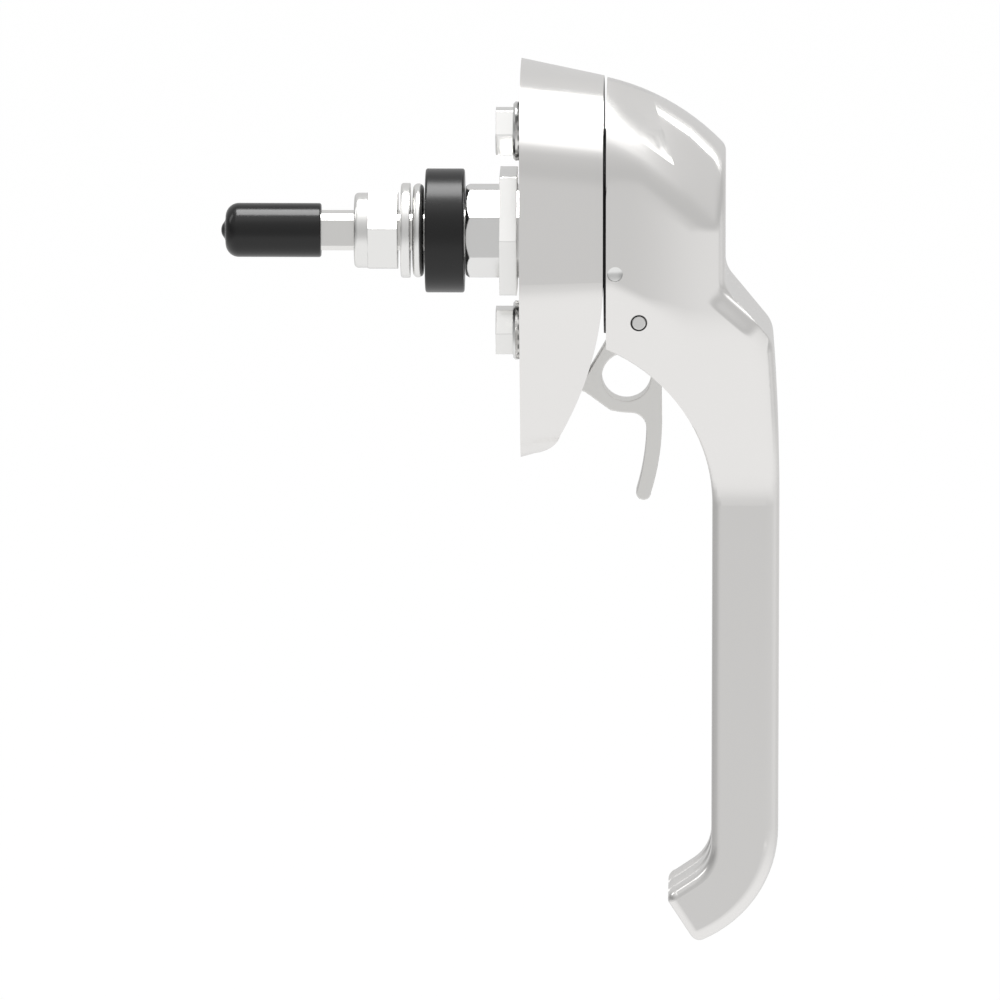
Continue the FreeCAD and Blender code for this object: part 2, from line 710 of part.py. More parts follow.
def roof_arc(rear):
    # Centre and radius of the roof seen from the side, through its rear top and its brow.
    top = V(rear, SIZE["head_top"])
    brow = V(SIZE["head_front"] - 1.0, SIZE["roof_front"])
    chord = brow - top
    radius = SIZE["roof_radius"]
    drop = math.sqrt(radius ** 2 - (chord.Length / 2) ** 2)
    inward = V(chord.y, -chord.x).normalize()
    return top + chord * 0.5 + inward * drop, radius


def blend_point(first, last, bow):
    # Middle point of a shallow arc that bows to the left of the way from first to last.
    chord = last - first
    return first + chord * 0.5 + V(-chord.y, chord.x) * bow


def handle_casting():
    item = body("handle_casting")
    rear = rear_face()
    bottom = SIZE["hook_top"] + SIZE["hook_outer"] + 4
    outline = sketch(
        item, "YZ_Plane", "front_outline",
        handle_front(
            SIZE["head_half_width"] + SIZE["side_stock"], SIZE["head_top"] + SIZE["roof_stock"],
            SIZE["head_arch"], SIZE["head_shoulder"], SIZE["grip_half_width"], bottom,
        ),
        rear,
    )
    deep = SIZE["grip_front"] + SIZE["front_round"] - rear
    feature(item, "Pad", "front_view_form", outline, Length=deep)
    outside = sketch(
        item, "XZ_Plane", "side_cut_profile",
        box_edges(rear - deep, -bottom - deep, rear + 2 * deep, SIZE["head_top"] + deep)
        + side_profile(),
    )
    feature(item, "Pocket", "side_view_form", outside, Length=FAR, Midplane=True)

    # The head narrows towards its front, seen from above.
    wide, front = SIZE["head_half_width"], rear + deep
    for name, sign in (("near_taper", -1), ("far_taper", 1)):
        wedge = sketch(
            item, "XY_Plane", name + "_profile",
            chain([
                V(rear, sign * wide), V(front, sign * head_half_width(front)),
                V(front, sign * wide * 1.5), V(rear, sign * wide * 1.5),
            ]),
        )
        feature(item, "Pocket", name, wedge, Length=2 * FAR, Midplane=True)

    # The roof is crowned: the arch of the front view is carried round the roof's own arc.
    centre, radius = roof_arc(rear)
    crown, shoulder_centre, lean = shoulder_parts(
        wide, radius, SIZE["head_arch"], SIZE["head_shoulder"]
    )
    beyond, above = wide + SIZE["head_shoulder"], radius + SIZE["head_shoulder"]
    right = [
        arc_part(shoulder_centre, SIZE["head_shoulder"], 0, lean),
        line_part(V(wide, shoulder_centre.y), V(beyond, shoulder_centre.y)),
        line_part(V(beyond, shoulder_centre.y), V(beyond, above)),
    ]
    lid = [drawn(piece) for piece in [crown] + right + [mirrored(piece) for piece in right]]
    lid.append(Part.LineSegment(V(beyond, above), V(-beyond, above)))
    roof = sketch(item, "YZ_Plane", "roof_profile", lid)
    roof.AttachmentOffset = FreeCAD.Placement(V(0, centre.y, centre.x), FreeCAD.Rotation())
    feature(
        item, "Groove", "crowned_roof", roof, Angle=120.0, ReferenceAxis=(roof, ["H_Axis"]),
        Midplane=True,
    )

    middle = (rear + SIZE["head_front"]) / 2
    side, grip_side = head_half_width(middle), SIZE["grip_half_width"]
    rounded(item, "roof_sides", "roof_blend", [V(middle, side, SIZE["roof_front"])])
    rounded(
        item, "neck_sides", "neck_blend", [V(middle, side, -SIZE["grip_straight_top"] * 0.4)]
    )
    grip_middle = -(SIZE["grip_straight_top"] + SIZE["hook_top"]) / 2
    lowest = -SIZE["hook_top"] - SIZE["hook_outer"]
    lip_x, lip_drop = SIZE["hook_lip_x"], SIZE["hook_lip_drop"]
    rounded(
        item, "front_edges", "front_round",
        [
            V(SIZE["grip_front"], grip_side, grip_middle),
            V(SIZE["head_front"], 0, SIZE["roof_front"]),
        ],
    )
    rounded(
        item, "rear_edges", "rear_round",
        [
            V(SIZE["grip_rear"], grip_side, grip_middle),
            V(lip_x, grip_side, lowest + lip_drop + SIZE["rear_round"] * 1.5),
            V((lip_x + SIZE["hook_end_x"]) / 2, grip_side, lowest + lip_drop / 2 + 1.0),
            V(SIZE["hook_end_x"], 0, lowest),
        ],
    )

    # Slot that carries the trigger, open below and to the rear under the disc.
    box_pocket(
        item, "XZ_Plane", "trigger_slot",
        (rear - 1, -FAR / 2, SIZE["slot_front"], -SIZE["slot_roof"]), length=SIZE["slot_width"],
    )
    turned(
        item, "Groove", "spindle_bore",
        box_edges(
            rear - 1, 0, rear + SIZE["head_bore_depth"] + SIZE["running_gap"],
            SIZE["journal_radius"] + SIZE["running_gap"],
        ),
    )
    side = SIZE["head_half_width"]
    for name, x, z, radius in (
        ("spindle_pin_hole", SIZE["pin_x"], SIZE["pin_z"], SIZE["pin_radius"]),
        ("pivot_hole", SIZE["pivot_x"], SIZE["pivot_z"], SIZE["pivot_radius"]),
    ):
        hole = sketch(
            item, "XZ_Plane", name + "_profile", circle(x, -z, radius + SIZE["running_gap"])
        )
        feature(item, "Pocket", name, hole, Length=FAR, Midplane=True)
    for name, side in (("near_mouth", 1), ("far_mouth", -1)):
        place = pin_half_length(SIZE["pivot_x"]) - SIZE["pivot_sink"]
        mouth = sketch(
            item, "XZ_Plane", name + "_profile",
            circle(SIZE["pivot_x"], -SIZE["pivot_z"], SIZE["pivot_radius"] + SIZE["mouth_gap"]),
            side * place,
        )
        feature(item, "Pocket", name, mouth, Length=place, Reversed=side > 0)
    well = sketch(
        item, "XY_Plane", "spring_well_profile",
        circle(
            SIZE["spring_x"], 0,
            SIZE["spring_radius"] + SIZE["spring_wire"] / 2 + SIZE["spring_well_gap"],
        ),
        -SIZE["slot_roof"] - 1,
    )
    feature(
        item, "Pocket", "spring_well", well, Reversed=True,
        Length=SIZE["slot_roof"] + 1 - SIZE["spring_top"],
    )

    # Two round grooves run along the inside of the hook and leave three ridges.
    hook, turn = hook_centre(), SIZE["hook_inner_turn"]
    place = V(hook.x, 0, hook.y)
    away = SIZE["hook_inner"] - SIZE["rib_rise"]
    for name, side in (("near", -1), ("far", 1)):
        rim = circle(away, side * SIZE["rib_pitch"] / 2, SIZE["rib_groove"])
        bend = sketch(item, "XY_Plane", name + "_bend_profile", rim)
        bend.AttachmentOffset = FreeCAD.Placement(place, FreeCAD.Rotation())
        feature(
            item, "Groove", name + "_bend_groove", bend, Angle=2 * turn, Midplane=True,
            ReferenceAxis=(bend, ["V_Axis"]),
        )
        lip = sketch(item, "XY_Plane", name + "_lip_profile", rim)
        lip.AttachmentOffset = FreeCAD.Placement(place, FreeCAD.Rotation(V(0, 1, 0), turn))
        feature(item, "Pocket", name + "_lip_groove", lip, Length=SIZE["hook_outer"])
    return item


def pin_half_length(x):
    # A pin ends a little under the head's side.
    return head_half_width(x) - SIZE["pin_sink"]


def spindle_pin():
    item = body("spindle_pin")
    profile = sketch(
        item, "XZ_Plane", "pin_profile",
        circle(SIZE["pin_x"], -SIZE["pin_z"], SIZE["pin_radius"]),
    )
    half = pin_half_length(SIZE["pin_x"]) - SIZE["dimple_depth"]
    feature(item, "Pad", "pin_length", profile, Length=2 * half, Midplane=True)
    return item


def trigger_pin():
    item = body("trigger_pin")
    profile = sketch(
        item, "XZ_Plane", "pin_profile",
        circle(SIZE["pivot_x"], -SIZE["pivot_z"], SIZE["pivot_radius"]),
    )
    half = pin_half_length(SIZE["pivot_x"])
    feature(item, "Pad", "pin_length", profile, Length=2 * half, Midplane=True)
    return item


# Trigger

def nose_edge(radius):
    # X of the lever's base side at a distance below the spindle axis.
    rear = rear_face()
    upper_z, upper_x = SIZE["disc_radius"] + SIZE["disc_clear"], rear + SIZE["lever_stand"]
    part = (radius - upper_z) / (SIZE["nose_z"] - upper_z)
    return upper_x + (SIZE["nose_x"] - upper_x) * part


def trigger_lever():
    item = body("trigger_lever")
    rear = rear_face()
    hub = V(SIZE["pivot_x"], -SIZE["pivot_z"])
    hub_r = SIZE["hub_radius"]
    upper = V(rear + SIZE["lever_stand"], -SIZE["disc_radius"] - SIZE["disc_clear"])
    nose = V(SIZE["nose_x"], -SIZE["nose_z"])
    belly = V(SIZE["eye_x"] - 3.6, -SIZE["eye_z"] - 7.5)
    floor = V(SIZE["eye_x"] + 1.1, -SIZE["eye_z"] - 8.1)
    tail_top = V(SIZE["tail_right"] - 3.5, floor.y - 3.5)
    tip = V(SIZE["tail_tip_x"], -SIZE["tail_tip_z"] + SIZE["tail_tip_radius"])
    tip_r = SIZE["tail_tip_radius"]
    tip_left, tip_right = V(tip.x - tip_r, tip.y), V(tip.x + tip_r, tip.y)
    back_low = V(SIZE["tail_right"], -SIZE["eye_z"] - 11.0)
    back_top = V(SIZE["tail_right"] - 0.2, -SIZE["eye_z"] + 4.0)
    ear_low = V(SIZE["spring_x"] + 2.4, -SIZE["spring_foot"] - 6.0)
    ear_top = V(SIZE["spring_x"] + 2.4, -SIZE["spring_foot"])
    hub_right = V(hub.x + 3.2, -SIZE["spring_foot"])
    hub_angle = math.radians(150)
    hub_left = hub + direction(hub_angle) * hub_r
    hub_rise = math.asin((hub_right.y - hub.y) / hub_r)
    hub_meet = hub + direction(hub_rise) * hub_r
    profile = sketch(
        item, "XZ_Plane", "side_profile",
        [
            Part.LineSegment(upper, nose),
            through(nose, nose + V(0.1, -0.9), nose + V(0.9, -1.35)),
            Part.LineSegment(nose + V(0.9, -1.35), belly),
            through(belly, blend_point(floor, belly, 0.031), floor),
            through(floor, blend_point(floor, tail_top, 0.2071), tail_top),
            through(tail_top, blend_point(tail_top, tip_left, 0.035), tip_left),
            arc(tip, tip_r, math.pi, 2 * math.pi),
            through(tip_right, blend_point(tip_right, back_low, -0.035), back_low),
            Part.LineSegment(back_low, back_top),
            Part.LineSegment(back_top, ear_low),
            Part.LineSegment(ear_low, ear_top),
            Part.LineSegment(ear_top, hub_meet),
            arc(hub, hub_r, hub_rise, hub_angle),
            Part.LineSegment(hub_left, V(upper.x, hub_left.y)),
            Part.LineSegment(V(upper.x, hub_left.y), upper),
        ]
        + circle(hub.x, hub.y, SIZE["pivot_radius"] + SIZE["pivot_gap"])
        + circle(SIZE["eye_x"], -SIZE["eye_z"], SIZE["eye_radius"]),
    )
    feature(item, "Pad", "plate", profile, Length="sizes.lever_thick", Midplane=True)
    return item


def trigger_spring():
    # Compression spring between the lever's ear and the well in the head, with closed ends.
    low, high = -SIZE["spring_foot"], -SIZE["spring_top"]
    wire = SIZE["spring_wire"]
    rise = high - low - wire
    helix = doc.addObject("Part::Helix", "spring_path")
    helix.Pitch = rise / SIZE["spring_turns"]
    helix.Height = rise
    helix.Radius = SIZE["spring_radius"]
    doc.recompute()
    section = Part.Wire(
        Part.makeCircle(wire / 2, V(SIZE["spring_radius"], 0, 0), V(0, 1, 0))
    )
    coil = Part.Wire(helix.Shape.Edges).makePipeShell([section], True, True)
    item = doc.addObject("Part::Feature", "trigger_spring")
    item.Label = "trigger_spring"
    item.Shape = coil
    item.Placement = FreeCAD.Placement(
        V(SIZE["spring_x"], 0, low + wire / 2), FreeCAD.Rotation()
    )
    helix.Visibility = False
    subparts.append(item)
    return item


base_housing()
octagon_bushing()
jam_nut()
for where, sign in (("upper", 1), ("lower", -1)):
    mounting_screw("mounting_screw_" + where, sign * SIZE["screw_spacing"] / 2)
    screw_washer("lock_washer_" + where, sign * SIZE["screw_spacing"] / 2)
spindle()
spindle_seal()
stack()
end_cap()
friction_disc()
handle_casting()
spindle_pin()
trigger_pin()
trigger_lever()
trigger_spring()
doc.recompute()

faults = [
    "%s %s" % (item.Label, item.State)
    for item in doc.Objects
    if "Invalid" in item.State or "Error" in item.State
]
for item in subparts:
    if item.Shape.isNull() or not item.Shape.isValid():
        faults.append(item.Label + " has no valid shape")
if faults:
    raise RuntimeError("; ".join(faults))

os.makedirs(PARTS_DIR, exist_ok=True)
for item in subparts:
    box = item.Shape.BoundBox
    print(
        "%-22s %9.1f mm3  x %6.1f %6.1f  y %6.1f %6.1f  z %6.1f %6.1f"
        % (item.Label, item.Shape.Volume, box.XMin, box.XMax, box.YMin, box.YMax, box.ZMin,
           box.ZMax)
    )
    item.Shape.exportStep(os.path.join(PARTS_DIR, item.Label + ".step"))
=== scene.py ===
import json
import math

import bmesh
import bpy
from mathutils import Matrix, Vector


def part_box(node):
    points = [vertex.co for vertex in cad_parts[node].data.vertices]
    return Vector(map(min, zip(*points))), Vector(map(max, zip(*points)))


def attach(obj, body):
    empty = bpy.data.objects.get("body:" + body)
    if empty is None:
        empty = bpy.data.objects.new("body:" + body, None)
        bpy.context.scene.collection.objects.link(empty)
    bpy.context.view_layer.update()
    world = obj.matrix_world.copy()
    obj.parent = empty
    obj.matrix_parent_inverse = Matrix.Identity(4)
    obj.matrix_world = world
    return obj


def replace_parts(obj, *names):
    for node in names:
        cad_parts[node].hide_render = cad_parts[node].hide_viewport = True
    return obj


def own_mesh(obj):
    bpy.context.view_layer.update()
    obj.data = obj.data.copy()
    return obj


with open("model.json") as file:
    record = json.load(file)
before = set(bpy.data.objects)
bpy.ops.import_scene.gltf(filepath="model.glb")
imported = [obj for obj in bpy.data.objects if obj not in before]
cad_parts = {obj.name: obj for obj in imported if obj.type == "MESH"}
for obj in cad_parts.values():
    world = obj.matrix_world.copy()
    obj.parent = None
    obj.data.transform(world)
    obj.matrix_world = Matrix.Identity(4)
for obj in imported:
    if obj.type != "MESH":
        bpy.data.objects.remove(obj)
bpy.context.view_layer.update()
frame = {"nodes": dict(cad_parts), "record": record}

MM = 0.001
NODES = frame["nodes"]


# Shader nodes in short

def linked(tree, kind, sources=(), **settings):
    """A new node with its settings, and its inputs linked or set in order; None leaves one as it is."""
    node = tree.nodes.new(kind)
    for name, value in settings.items():
        setattr(node, name, value)
    for socket, source in zip(node.inputs, sources):
        if hasattr(source, "is_linked"):
            tree.links.new(source, socket)
        elif source is not None:
            socket.default_value = source
    return node


def maths(tree, operation, *sources):
    return linked(tree, "ShaderNodeMath", sources, operation=operation).outputs[0]


def plus(tree, first, second):
    return maths(tree, "ADD", first, second)


def less(tree, first, second):
    return maths(tree, "SUBTRACT", first, second)


def times(tree, first, second):
    return maths(tree, "MULTIPLY", first, second)


def straight(tree, value, start, end, low, high):
    """value taken in a straight line from low at start to high at end, and held beyond them."""
    return linked(tree, "ShaderNodeMapRange", [value, start, end, low, high]).outputs[0]


def eased(tree, value, start, end, low=0.0, high=1.0):
    """value taken smoothly from low at start to high at end, and held beyond them."""
    return linked(tree, "ShaderNodeMapRange", [value, start, end, low, high],
                  interpolation_type="SMOOTHSTEP").outputs[0]


def levels_over(tree, value, low, high, levels):
    """The level read at value from (place, level) stops between low and high."""
    stops = linked(tree, "ShaderNodeValToRGB", [straight(tree, value, low, high, 0.0, 1.0)])
    ramp = stops.color_ramp
    while len(ramp.elements) < len(levels):
        ramp.elements.new(0.5)
    for stop, (place, level) in zip(ramp.elements, levels):
        stop.position = (place - low) / (high - low)
        stop.color = (level, level, level, 1.0)
    return stops.outputs["Color"]


# Camera, lights and floor

PHOTO_CENTRE = Vector((-4.7, 0.0, -61.2)) * MM

# Brightness of the room round the object, as (degrees, level).
ROOM_WALLS = [(-180, 0.64), (-163, 0.72), (-120, 0.88), (-31, 0.89), (-25, 0.84), (-18, 0.74), (-11, 0.61),
              (-6, 0.58), (0, 0.55), (10, 0.55), (18, 0.58), (24, 0.60), (31, 0.62), (40, 0.63), (110, 0.60),
              (124, 0.53), (138, 0.63), (179, 0.64)]
CEILING_PANEL = [(-180, 0.0), (30, 0.0), (36, 0.06), (42, 0.12), (48, 0.27), (54, 0.50), (108, 0.62),
                 (114, 0.0)]
# Shares of that brightness from left, -1, to right, 1.
ROOM_SIDES = [(-1.0, 0.50), (-0.85, 0.60), (-0.63, 0.78), (-0.35, 0.95), (0.0, 1.0), (0.55, 0.98), (0.8, 0.90),
              (0.99, 0.82)]
CEILING_ENDS = [(-1.0, 0.0), (-0.52, 0.0), (-0.36, 1.0), (0.30, 1.0), (0.46, 0.0)]
BACKGROUND_WHITE = 1.02
FLOOR_GLOW = 0.96


def aimed(item, place, target):
    item.location = place
    item.rotation_euler = (Vector(target) - Vector(place)).to_track_quat("-Z", "Y").to_euler()
    bpy.context.scene.collection.objects.link(item)
    return item


def photo_camera(azimuth, elevation, centre, view_width, distance):
    data = bpy.data.cameras.new("long_lens")
    data.sensor_width = 36.0
    data.lens = data.sensor_width * distance / view_width
    data.clip_start, data.clip_end = 0.1, 30.0
    a, e = math.radians(azimuth), math.radians(elevation)
    away = Vector((math.sin(a) * math.cos(e), -math.cos(a) * math.cos(e), math.sin(e)))
    camera = aimed(bpy.data.objects.new("long_lens", data), centre + away * distance, centre)
    bpy.context.scene.camera = camera


def softbox(name, place, target, width, height, power):
    data = bpy.data.lights.new(name, "AREA")
    data.shape = "RECTANGLE"
    data.size, data.size_y, data.energy = width, height, power
    aimed(bpy.data.objects.new(name, data), place, target)


def studio_world(walls, sides, ceiling, ceiling_ends):
    """The room seen in the metal. walls and ceiling run over the object in degrees, from -90 under it through
    0 at the front, 90 overhead and 180 behind; sides and ceiling_ends run from -1 at the left to 1 at the
    right. The camera itself sees white."""
    world = bpy.data.worlds.new("studio")
    bpy.context.scene.world = world
    world.use_nodes = True
    tree = world.node_tree
    tree.nodes.clear()
    direction = linked(tree, "ShaderNodeTexCoord").outputs["Generated"]
    axes = linked(tree, "ShaderNodeSeparateXYZ", [direction]).outputs
    turn = maths(tree, "ARCTAN2", axes["Z"], times(tree, axes["Y"], -1.0))
    over = times(tree, turn, 180.0 / math.pi)
    near_level = eased(tree, maths(tree, "ABSOLUTE", axes["Z"]), 0.60, 0.25)
    dimming = less(tree, 1.0, levels_over(tree, axes["X"], -1.0, 1.0, sides))
    side = less(tree, 1.0, times(tree, near_level, dimming))
    wall = times(tree, levels_over(tree, over, -180.0, 180.0, walls), side)
    panel = times(tree, levels_over(tree, over, -180.0, 180.0, ceiling),
                  levels_over(tree, axes["X"], -1.0, 1.0, ceiling_ends))
    room = linked(tree, "ShaderNodeBackground", [(1.0, 1.0, 1.0, 1.0), plus(tree, wall, panel)])
    white = linked(tree, "ShaderNodeBackground", [(1.0, 1.0, 1.0, 1.0), BACKGROUND_WHITE])
    camera_ray = linked(tree, "ShaderNodeLightPath").outputs["Is Camera Ray"]
    choose = linked(tree, "ShaderNodeMixShader", [camera_ray, room.outputs[0], white.outputs[0]])
    linked(tree, "ShaderNodeOutputWorld", [choose.outputs[0]])


def white_floor(level, reach):
    """A pale floor that keeps the object's shadow. The metal reflects the room and not the floor."""
    mesh = bpy.data.meshes.new("studio_floor")
    corners = [(-reach, -reach, level), (reach, -reach, level), (reach, reach, level), (-reach, reach, level)]
    mesh.from_pydata(corners, [], [(0, 1, 2, 3)])
    floor = bpy.data.objects.new("studio_floor", mesh)
    bpy.context.scene.collection.objects.link(floor)
    floor.visible_glossy = False
    material = bpy.data.materials.new("studio_floor")
    material.use_nodes = True
    tree = material.node_tree
    paper = tree.nodes["Principled BSDF"]
    paper.inputs["Base Color"].default_value = (0.58, 0.58, 0.58, 1.0)
    paper.inputs["Roughness"].default_value = 0.9
    glow = linked(tree, "ShaderNodeEmission", [(1.0, 1.0, 1.0, 1.0), BACKGROUND_WHITE])
    share = times(tree, linked(tree, "ShaderNodeLightPath").outputs["Is Camera Ray"], FLOOR_GLOW)
    mix = linked(tree, "ShaderNodeMixShader", [share, paper.outputs[0], glow.outputs[0]])
    tree.links.new(mix.outputs[0], tree.nodes["Material Output"].inputs["Surface"])
    mesh.materials.append(material)


bpy.context.scene.view_settings.view_transform = "Standard"
photo_camera(azimuth=1.0, elevation=10.5, centre=PHOTO_CENTRE, view_width=0.2242, distance=3.0)
studio_world(ROOM_WALLS, ROOM_SIDES, CEILING_PANEL, CEILING_ENDS)
white_floor(level=-0.42, reach=4.0)
softbox("overhead_softbox", (0.0, 0.04, 1.5), (0.0, 0.04, 0.0), 0.90, 0.83, 16.5)
softbox("right_softbox", (0.98, 0.45, 1.04), (0.04, 0.0, 0.0), 0.46, 0.55, 3.0)
softbox("left_softbox", (-1.23, 0.05, 0.84), (-0.04, 0.0, 0.0), 0.40, 0.75, 1.2)


# Shader effects

def effect(name, inputs, outputs):
    """A new node group with its sockets: inputs as (name, value), outputs as (name, socket type)."""
    tree = bpy.data.node_groups.new(name, "ShaderNodeTree")
    for label, value in inputs:
        socket = tree.interface.new_socket(label, in_out="INPUT", socket_type="NodeSocketFloat")
        socket.default_value = value
    for label, kind in outputs:
        tree.interface.new_socket(label, in_out="OUTPUT", socket_type=kind)
    return tree, tree.nodes.new("NodeGroupInput"), tree.nodes.new("NodeGroupOutput")


def noise(tree, scale, detail):
    """Noise over the object's own coordinates; scale may be a number or a socket."""
    place = linked(tree, "ShaderNodeTexCoord").outputs["Object"]
    return linked(tree, "ShaderNodeTexNoise", [place, None, scale, detail]).outputs["Fac"]


def handled_surface():
    """Faint cloudy handling marks in the roughness and a fine grain for the bump."""
    tree, given, result = effect("handled_surface",
                                 [("Cloud Scale", 60.0), ("Grain Scale", 2500.0), ("Least", 0.2), ("Most", 0.3)],
                                 [("Roughness", "NodeSocketFloat"), ("Grain", "NodeSocketFloat")])
    clouds = noise(tree, given.outputs["Cloud Scale"], detail=5.0)
    roughness = straight(tree, clouds, 0.0, 1.0, given.outputs["Least"], given.outputs["Most"])
    tree.links.new(roughness, result.inputs["Roughness"])
    tree.links.new(noise(tree, given.outputs["Grain Scale"], detail=1.0), result.inputs["Grain"])
    return tree


def tone_drift():
    """A slow change of tone between two shares of the colour."""
    tree, given, result = effect("tone_drift", [("Scale", 25.0), ("Darkest", 0.97)], [("Tone", "NodeSocketFloat")])
    clouds = noise(tree, given.outputs["Scale"], detail=3.0)
    tree.links.new(straight(tree, clouds, 0.0, 1.0, given.outputs["Darkest"], 1.0), result.inputs["Tone"])
    return tree


HANDLED = handled_surface()
TONE = tone_drift()


# The soft forms of the castings, as turned normals

# The height of a point in the photo's picture is this share of its z less this share of its distance out to
# the side: the cosine and sine of the picture's 10.5 degrees.
UPRIGHT, OUTWARD = 0.983, 0.182

# How far a roll has turned up: (millimetres below the middle of the roll, lean as a share of 90 degrees).
INTO_HEAD_SIDE = [(2.7, 0.33), (3.3, 0.28), (5.1, 0.17), (7.4, 0.11), (9.6, 0.03), (11.0, 0.0)]
BROAD_ROLL = [(-12.0, 0.84), (-8.0, 0.79), (-6.0, 0.77), (-4.7, 0.755), (-3.8, 0.72), (-3.0, 0.70), (-1.8, 0.66),
              (0.0, 0.53)] + INTO_HEAD_SIDE
NARROWED_ROLL = [(-12.0, 0.84), (-8.0, 0.79), (-6.0, 0.77), (-3.0, 0.74), (-0.9, 0.71), (-0.5, 0.40)] + INTO_HEAD_SIDE
TIGHT_ROLL = [(-13.0, 0.80), (-11.3, 0.73), (-10.1, 0.64), (-9.2, 0.50), (-8.3, 0.43), (-4.0, 0.40), (0.0, 0.35),
              (3.0, 0.28), (5.0, 0.17), (7.4, 0.11), (9.6, 0.03), (11.0, 0.0)]
BASE_ROLL = [(-11.0, 0.88), (-9.0, 0.82), (-7.2, 0.76), (-6.0, 0.69), (0.0, 0.52), (5.8, 0.36), (6.6, 0.29),
             (8.3, 0.18), (10.8, 0.11), (13.0, 0.04), (15.5, 0.0)]

# Across the hollow: (millimetres upwards, lean as a share of the steepest).
HOLLOW = [(-2.3, 0.0), (-1.7, 0.26), (-1.2, 0.38), (-0.5, 0.40), (0.1, 0.36), (0.7, 0.30), (1.3, 0.30),
          (1.6, 0.50), (1.9, 0.74), (2.2, 0.50), (2.5, 0.30)]
HOLLOW_STEEPEST, CHEEK_LEAN = 60.0, -18.0


def object_place(tree):
    """The object's own coordinates in millimetres, as x, y and z sockets."""
    coordinates = linked(tree, "ShaderNodeTexCoord").outputs["Object"]
    scaled = linked(tree, "ShaderNodeVectorMath", [coordinates], operation="SCALE")
    scaled.inputs["Scale"].default_value = 1.0 / MM
    return linked(tree, "ShaderNodeSeparateXYZ", [scaled.outputs[0]]).outputs


def pictured_place(tree):
    """A point's x, its side as 1 or -1, and its height in the photo's picture, in millimetres."""
    x, y, z = object_place(tree)
    high = less(tree, times(tree, z, UPRIGHT), times(tree, maths(tree, "ABSOLUTE", y), OUTWARD))
    return x, maths(tree, "SIGN", y), high


def own_normal(tree, axis):
    """The surface's own normal, and how far it points along one axis, either way."""
    own = linked(tree, "ShaderNodeTexCoord").outputs["Normal"]
    return own, maths(tree, "ABSOLUTE", linked(tree, "ShaderNodeSeparateXYZ", [own]).outputs[axis])


def leaning_normal(tree, lean, side, swing):
    """The normal, in the object's axes, that leans lean degrees up from straight out to the side; swing turns
    the lean towards the front, in degrees."""
    angle, turn = maths(tree, "RADIANS", lean), maths(tree, "RADIANS", swing)
    up = maths(tree, "SINE", angle)
    parts = [times(tree, up, maths(tree, "SINE", turn)), times(tree, maths(tree, "COSINE", angle), side),
             times(tree, up, maths(tree, "COSINE", turn))]
    return linked(tree, "ShaderNodeCombineXYZ", parts).outputs[0]


def mixed_vector(tree, first, second, share):
    mix = linked(tree, "ShaderNodeMix", [share], data_type="VECTOR")
    tree.links.new(first, mix.inputs[4])
    tree.links.new(second, mix.inputs[5])
    return mix.outputs[1]


def world_normal(tree, vector):
    even = linked(tree, "ShaderNodeVectorMath", [vector], operation="NORMALIZE").outputs[0]
    return linked(tree, "ShaderNodeVectorTransform", [even], vector_type="NORMAL", convert_from="OBJECT",
                  convert_to="WORLD").outputs[0]


def rolled_shoulder(tree, x, side, high, own):
    """own, turned to the roll of the head's shoulder. The roll is broad at the rear, narrows, and past a slanting
    line is tight along the roof's edge."""
    below = less(tree, straight(tree, x, 18.8, 44.8, 24.1, 6.2), high)
    below = less(tree, below, straight(tree, x, 37.9, 44.9, 0.0, 1.9))
    below = times(tree, below, straight(tree, x, 18.8, 27.0, 0.62, 1.0))
    broad, narrowed, tight = [levels_over(tree, below, -14.0, 12.0, roll)
                              for roll in (BROAD_ROLL, NARROWED_ROLL, TIGHT_ROLL)]
    at_the_front = maths(tree, "GREATER_THAN", less(tree, x, times(tree, below, 0.4)), 34.5)
    at_the_rear = eased(tree, x, 25.5, 32.6, broad, narrowed)
    roll = eased(tree, at_the_front, 0.0, 1.0, at_the_rear, tight)
    within = times(tree, eased(tree, below, -13.5, -12.0), eased(tree, below, 10.5, 7.5))
    swing = straight(tree, x, 18.8, 41.2, 13.0, 41.0)
    shoulder = leaning_normal(tree, times(tree, roll, 90.0), side, swing)
    return mixed_vector(tree, own, shoulder, times(tree, eased(tree, x, 44.6, 42.8), within))


def cheek_turn(tree, x, high, past_brow):
    """How far the cheek has turned under. Its crease is tight at the rear and opens out towards the front."""
    crease = straight(tree, x, 20.4, 36.9, -13.0, -20.5)
    reach = eased(tree, x, 27.0, 41.0, 2.6, 12.0)
    under = eased(tree, maths(tree, "DIVIDE", less(tree, crease, high), reach), -1.0, 1.0)
    cheek = times(tree, past_brow, eased(tree, x, 22.0, 44.0, 0.03, 0.36))
    return maths(tree, "MAXIMUM", under, cheek)


def hollow_dip(tree, x, high):
    """The lean in the hollow, as a share of its steepest, and how near a point is to the hollow. It runs forwards
    and down; across is measured at right angles to it, upwards."""
    ahead, rise = less(tree, x, 43.7), plus(tree, high, 15.2)
    along = less(tree, times(tree, ahead, 0.757), times(tree, rise, 0.653))
    across = plus(tree, times(tree, ahead, 0.653), times(tree, rise, 0.757))
    begins = eased(tree, along, -1.6, 2.0)
    dip = times(tree, levels_over(tree, across, -3.0, 3.0, HOLLOW),
                times(tree, begins, eased(tree, along, 12.4, 8.6)))
    return dip, times(tree, begins, eased(tree, along, 17.0, 13.0))


